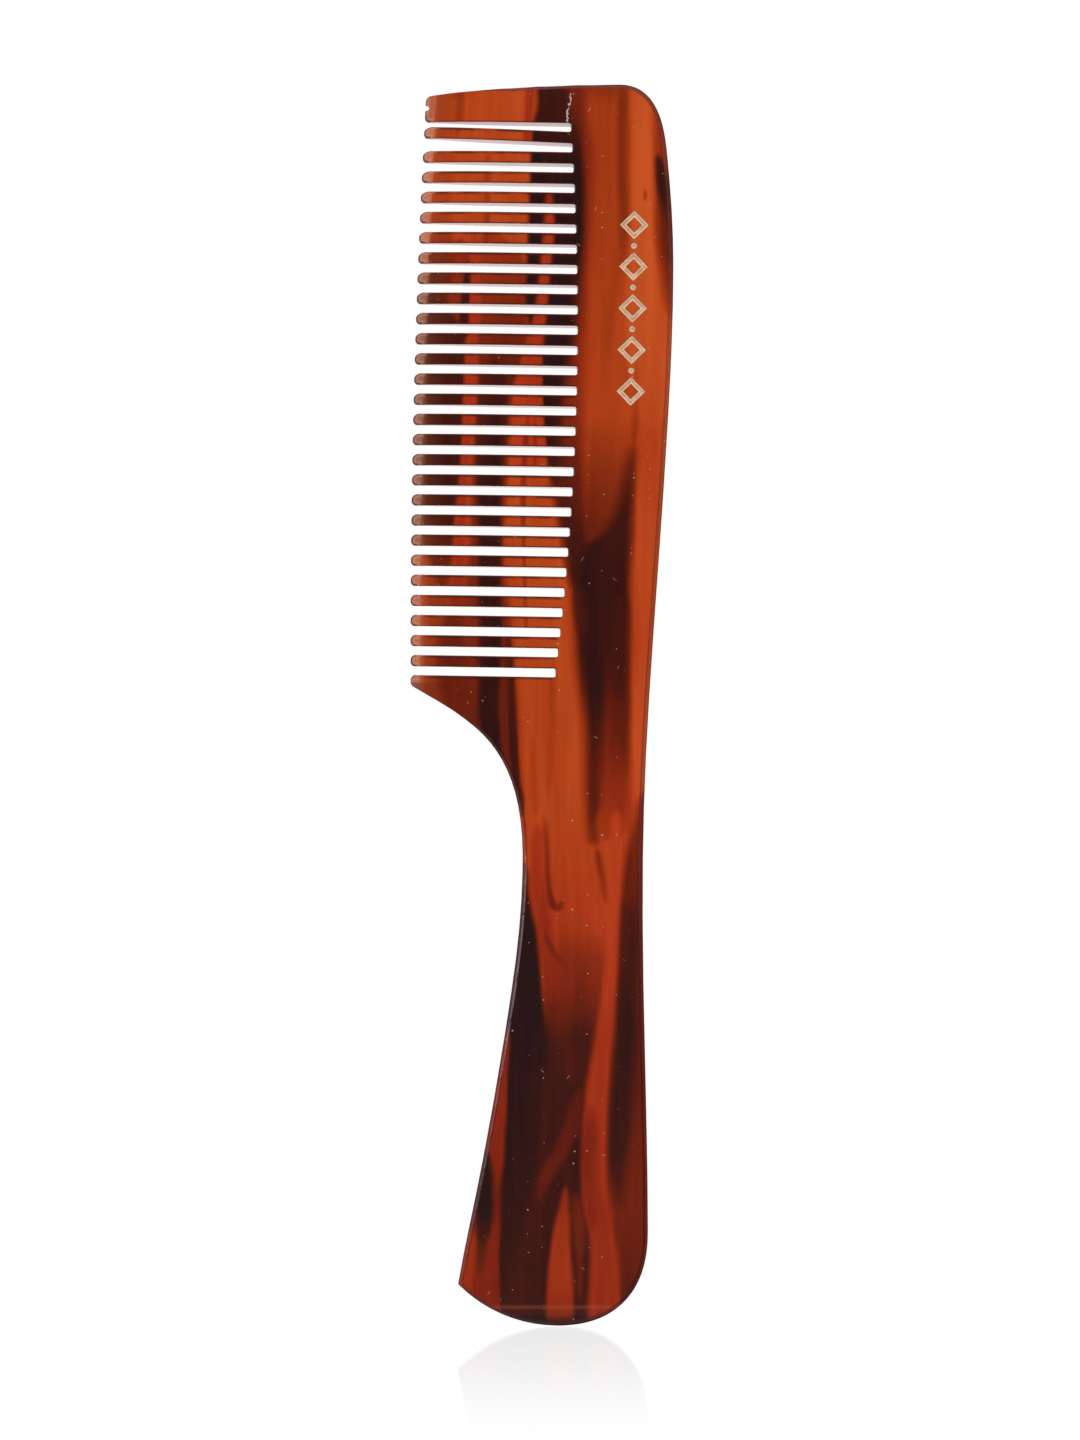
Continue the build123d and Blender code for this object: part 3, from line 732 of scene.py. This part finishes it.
def tortoiseshell():
    """Polished acetate: clear amber swirled with red, brown and near-black dye."""
    g = Graph(bpy.data.materials.new("polished_tortoiseshell"))
    position, x, y, z = comb_coordinates(g)
    normal = g.put("ShaderNodeSeparateXYZ", (0, g.put("ShaderNodeNewGeometry").outputs["Normal"]))
    normal_x, normal_y, normal_z = normal.outputs
    dye, red = tortoiseshell_dye(g, position, x, y, z)
    colour = g.tint(red, g.colours(dye, AMBER), g.colours(dye, RED))

    from_tip = distance_from_tips(g, x, z)
    above, below = distances_from_cuts(g, x, z)
    depth = tip_outline_depth(g, from_tip, above, below, z)
    to_root = g.math("SUBTRACT", cut_root_line(g, z), x)
    teeth = g.product(g.step(to_root, 0.0, 0.5), g.step(z, TEETH_BOTTOM_Z, TEETH_BOTTOM_Z + 0.4))
    colour, tip, mottle = frosted_tips(g, colour, position, z, dye, from_tip, depth)
    colour = painted_tooth_edge_shade(g, colour, position, teeth, from_tip, above, below, depth)
    colour, wall = sawn_wall_reflection(g, colour, x, y, z, normal_z)
    colour, dust = wear_and_crease_highlight(g, colour, position, x, z, teeth)

    unground = unground_faces(g, z, from_tip, wall)
    flatness = g.mix(unground, 1.0, g.math("ABSOLUTE", normal_y))
    colour, roll, silhouette = painted_rim_light(g, colour, x, dye, flatness, normal_z)
    right_roll = g.product(g.step(normal_x, 0.12, 0.32), g.step(flatness, 0.4, 0.6), unground)

    shader = g.put(
        "ShaderNodeBsdfPrincipled", ("Base Color", colour), ("IOR", 1.49),
        ("Roughness", polish_roughness(g, position, tip, dust)),
        ("Specular IOR Level", specular_level(g, tip, roll, right_roll, silhouette)),
        ("Normal", polish_relief(g, position, tip, mottle)),
    )
    return g.surface(shader.outputs[0])


def foil_edge_distance(g, x, z):
    """How far inside the edges of the ornament a point lies, in mm, and its place across and along it."""
    right, up = g.math("SUBTRACT", x, FOIL_X), g.math("SUBTRACT", z, FOIL_Z)
    across = g.math("MULTIPLY_ADD", right, cos(FOIL_LEAN), g.math("MULTIPLY", up, -sin(FOIL_LEAN)))
    along = g.math("MULTIPLY_ADD", right, sin(FOIL_LEAN), g.math("MULTIPLY", up, cos(FOIL_LEAN)))
    half = FOIL_PITCH / 2
    lozenge = g.math("ABSOLUTE", g.math("WRAP", along, half, -half))
    ring = g.math("MULTIPLY", g.math("ADD", g.math("ABSOLUTE", across), lozenge), sqrt(0.5))
    off_ring = g.math("ABSOLUTE", g.math("SUBTRACT", ring, LOZENGE_RING))
    in_ring = g.math("SUBTRACT", LOZENGE_HALF_STROKE, off_ring)
    dot = g.math("WRAP", g.math("ADD", along, half), half, -half)
    out = g.math("SQRT", g.math("ADD", g.math("POWER", across, 2.0), g.math("POWER", dot, 2.0)))
    return g.math("MAXIMUM", in_ring, g.math("SUBTRACT", FOIL_DOT, out)), across, along


def foil():
    """Pale gold foil pressed into the acetate: wrinkled, finely hatched, with a painted highlight along its
    rims.
    """
    g = Graph(bpy.data.materials.new("foil_pale_gold"))
    position, x, _, z = comb_coordinates(g)
    cloud = g.noise(position, 0.9, 4.0, 0.6)
    edge, across, along = foil_edge_distance(g, x, z)
    hatch = g.math("SINE", g.math("MULTIPLY", g.math("ADD", across, along), 2 * pi / FOIL_HATCH))
    colour = g.tint(g.step(hatch, -0.2, 0.8, 0.0, 0.16), g.colours(cloud, FOIL_GOLDS), FOIL_HATCHING)
    ragged = g.sway(edge, g.noise(position, 2.2, 3.0), 0.22)
    # Painted highlight: a bright cream band just inside the ragged edges of the foil.
    colour = g.tint(g.step(ragged, 0.24, 0.06, 0.0, 0.9), colour, FOIL_RIM_HIGHLIGHT)
    wrinkle = g.noise(position, 2.6, 3.0, 0.6)
    bump = g.put("ShaderNodeBump", ("Height", wrinkle), ("Distance", 0.06 * MM), ("Strength", 0.8))
    shader = g.put(
        "ShaderNodeBsdfPrincipled", ("Base Color", colour), ("Metallic", 0.15),
        ("Roughness", g.math("MULTIPLY_ADD", cloud, 0.25, 0.3)), ("Normal", bump.outputs[0]),
    )
    return g.surface(shader.outputs[0])


def dress(node, material):
    """Gives a CAD node its finish."""
    node.data.materials.clear()
    node.data.materials.append(material)


def floor_finish():
    """Plain white gloss, with a mirror reflection that fades out away from the comb."""
    g = Graph(bpy.data.materials.new("studio_floor"))
    position, _, y, _ = comb_coordinates(g)
    reach = g.put("ShaderNodeVectorMath", (0, position), operation="LENGTH").outputs["Value"]
    mirror = g.step(reach, 100.0, 4.0, 0.0, 0.18)
    seen = g.put("ShaderNodeLightPath").outputs["Is Camera Ray"]
    glow = g.mix(seen, g.step(y, -40.0, 60.0, 0.10, 1.0), 1.0)
    white = g.put("ShaderNodeEmission", ("Color", WHITE), ("Strength", glow)).outputs[0]
    gloss = g.put("ShaderNodeBsdfGlossy", ("Color", WHITE), ("Roughness", 0.02)).outputs[0]
    return g.surface(g.put("ShaderNodeMixShader", (0, mirror), (1, white), (2, gloss)).outputs[0])


def make_floor():
    bpy.ops.mesh.primitive_plane_add(size=FLOOR_SIZE * MM, location=(0, 0, -FLOOR_GAP * MM))
    floor = bpy.context.object
    floor.name = "floor"
    floor.data.materials.append(floor_finish())


def make_world():
    """White studio seen by the camera; reflections find it dark only around the camera itself."""
    g = Graph(bpy.data.worlds.new("studio"))
    direction = g.put("ShaderNodeTexCoord").outputs["Generated"]
    toward = g.put("ShaderNodeVectorMath", (0, direction), (1, (0, -1, 0)), operation="DOT_PRODUCT")
    studio = g.step(toward.outputs["Value"], 0.72, 0.94, 1.0, 0.05)
    seen = g.put("ShaderNodeLightPath").outputs["Is Camera Ray"]
    background = g.put("ShaderNodeBackground", ("Color", WHITE), ("Strength", g.mix(seen, studio, 1.0)))
    g.put("ShaderNodeOutputWorld", ("Surface", background.outputs[0]))
    bpy.context.scene.world = g.owner


def softbox(name, place, power):
    """Square area light, half a metre wide, that looks at the middle of the comb; places are in metres."""
    data = bpy.data.lights.new(name, "AREA")
    data.size = 0.5
    data.energy = power
    light = bpy.data.objects.new(name, data)
    bpy.context.scene.collection.objects.link(light)
    middle = Vector((0.0, 0.0, COMB_HEIGHT / 2 * MM))
    light.location = place
    light.rotation_euler = (middle - Vector(place)).to_track_quat("-Z", "Y").to_euler()
    light.visible_camera = False


def make_camera():
    data = bpy.data.cameras.new("camera")
    data.lens = CAMERA_LENS
    camera = bpy.data.objects.new("camera", data)
    bpy.context.scene.collection.objects.link(camera)
    camera.location = (CAMERA_X * MM, CAMERA_Y * MM, CAMERA_Z * MM)
    camera.rotation_euler = (radians(90), 0, 0)
    bpy.context.scene.camera = camera


dress(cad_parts["comb_body"], tortoiseshell())
dress(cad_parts["foil_mark"], foil())
make_floor()
make_world()
softbox("softbox_left", (-0.55, -0.45, 0.30), 2.6)
softbox("softbox_right", (0.60, -0.45, 0.25), 2.2)
make_camera()
bpy.context.scene.view_settings.view_transform = "Standard"
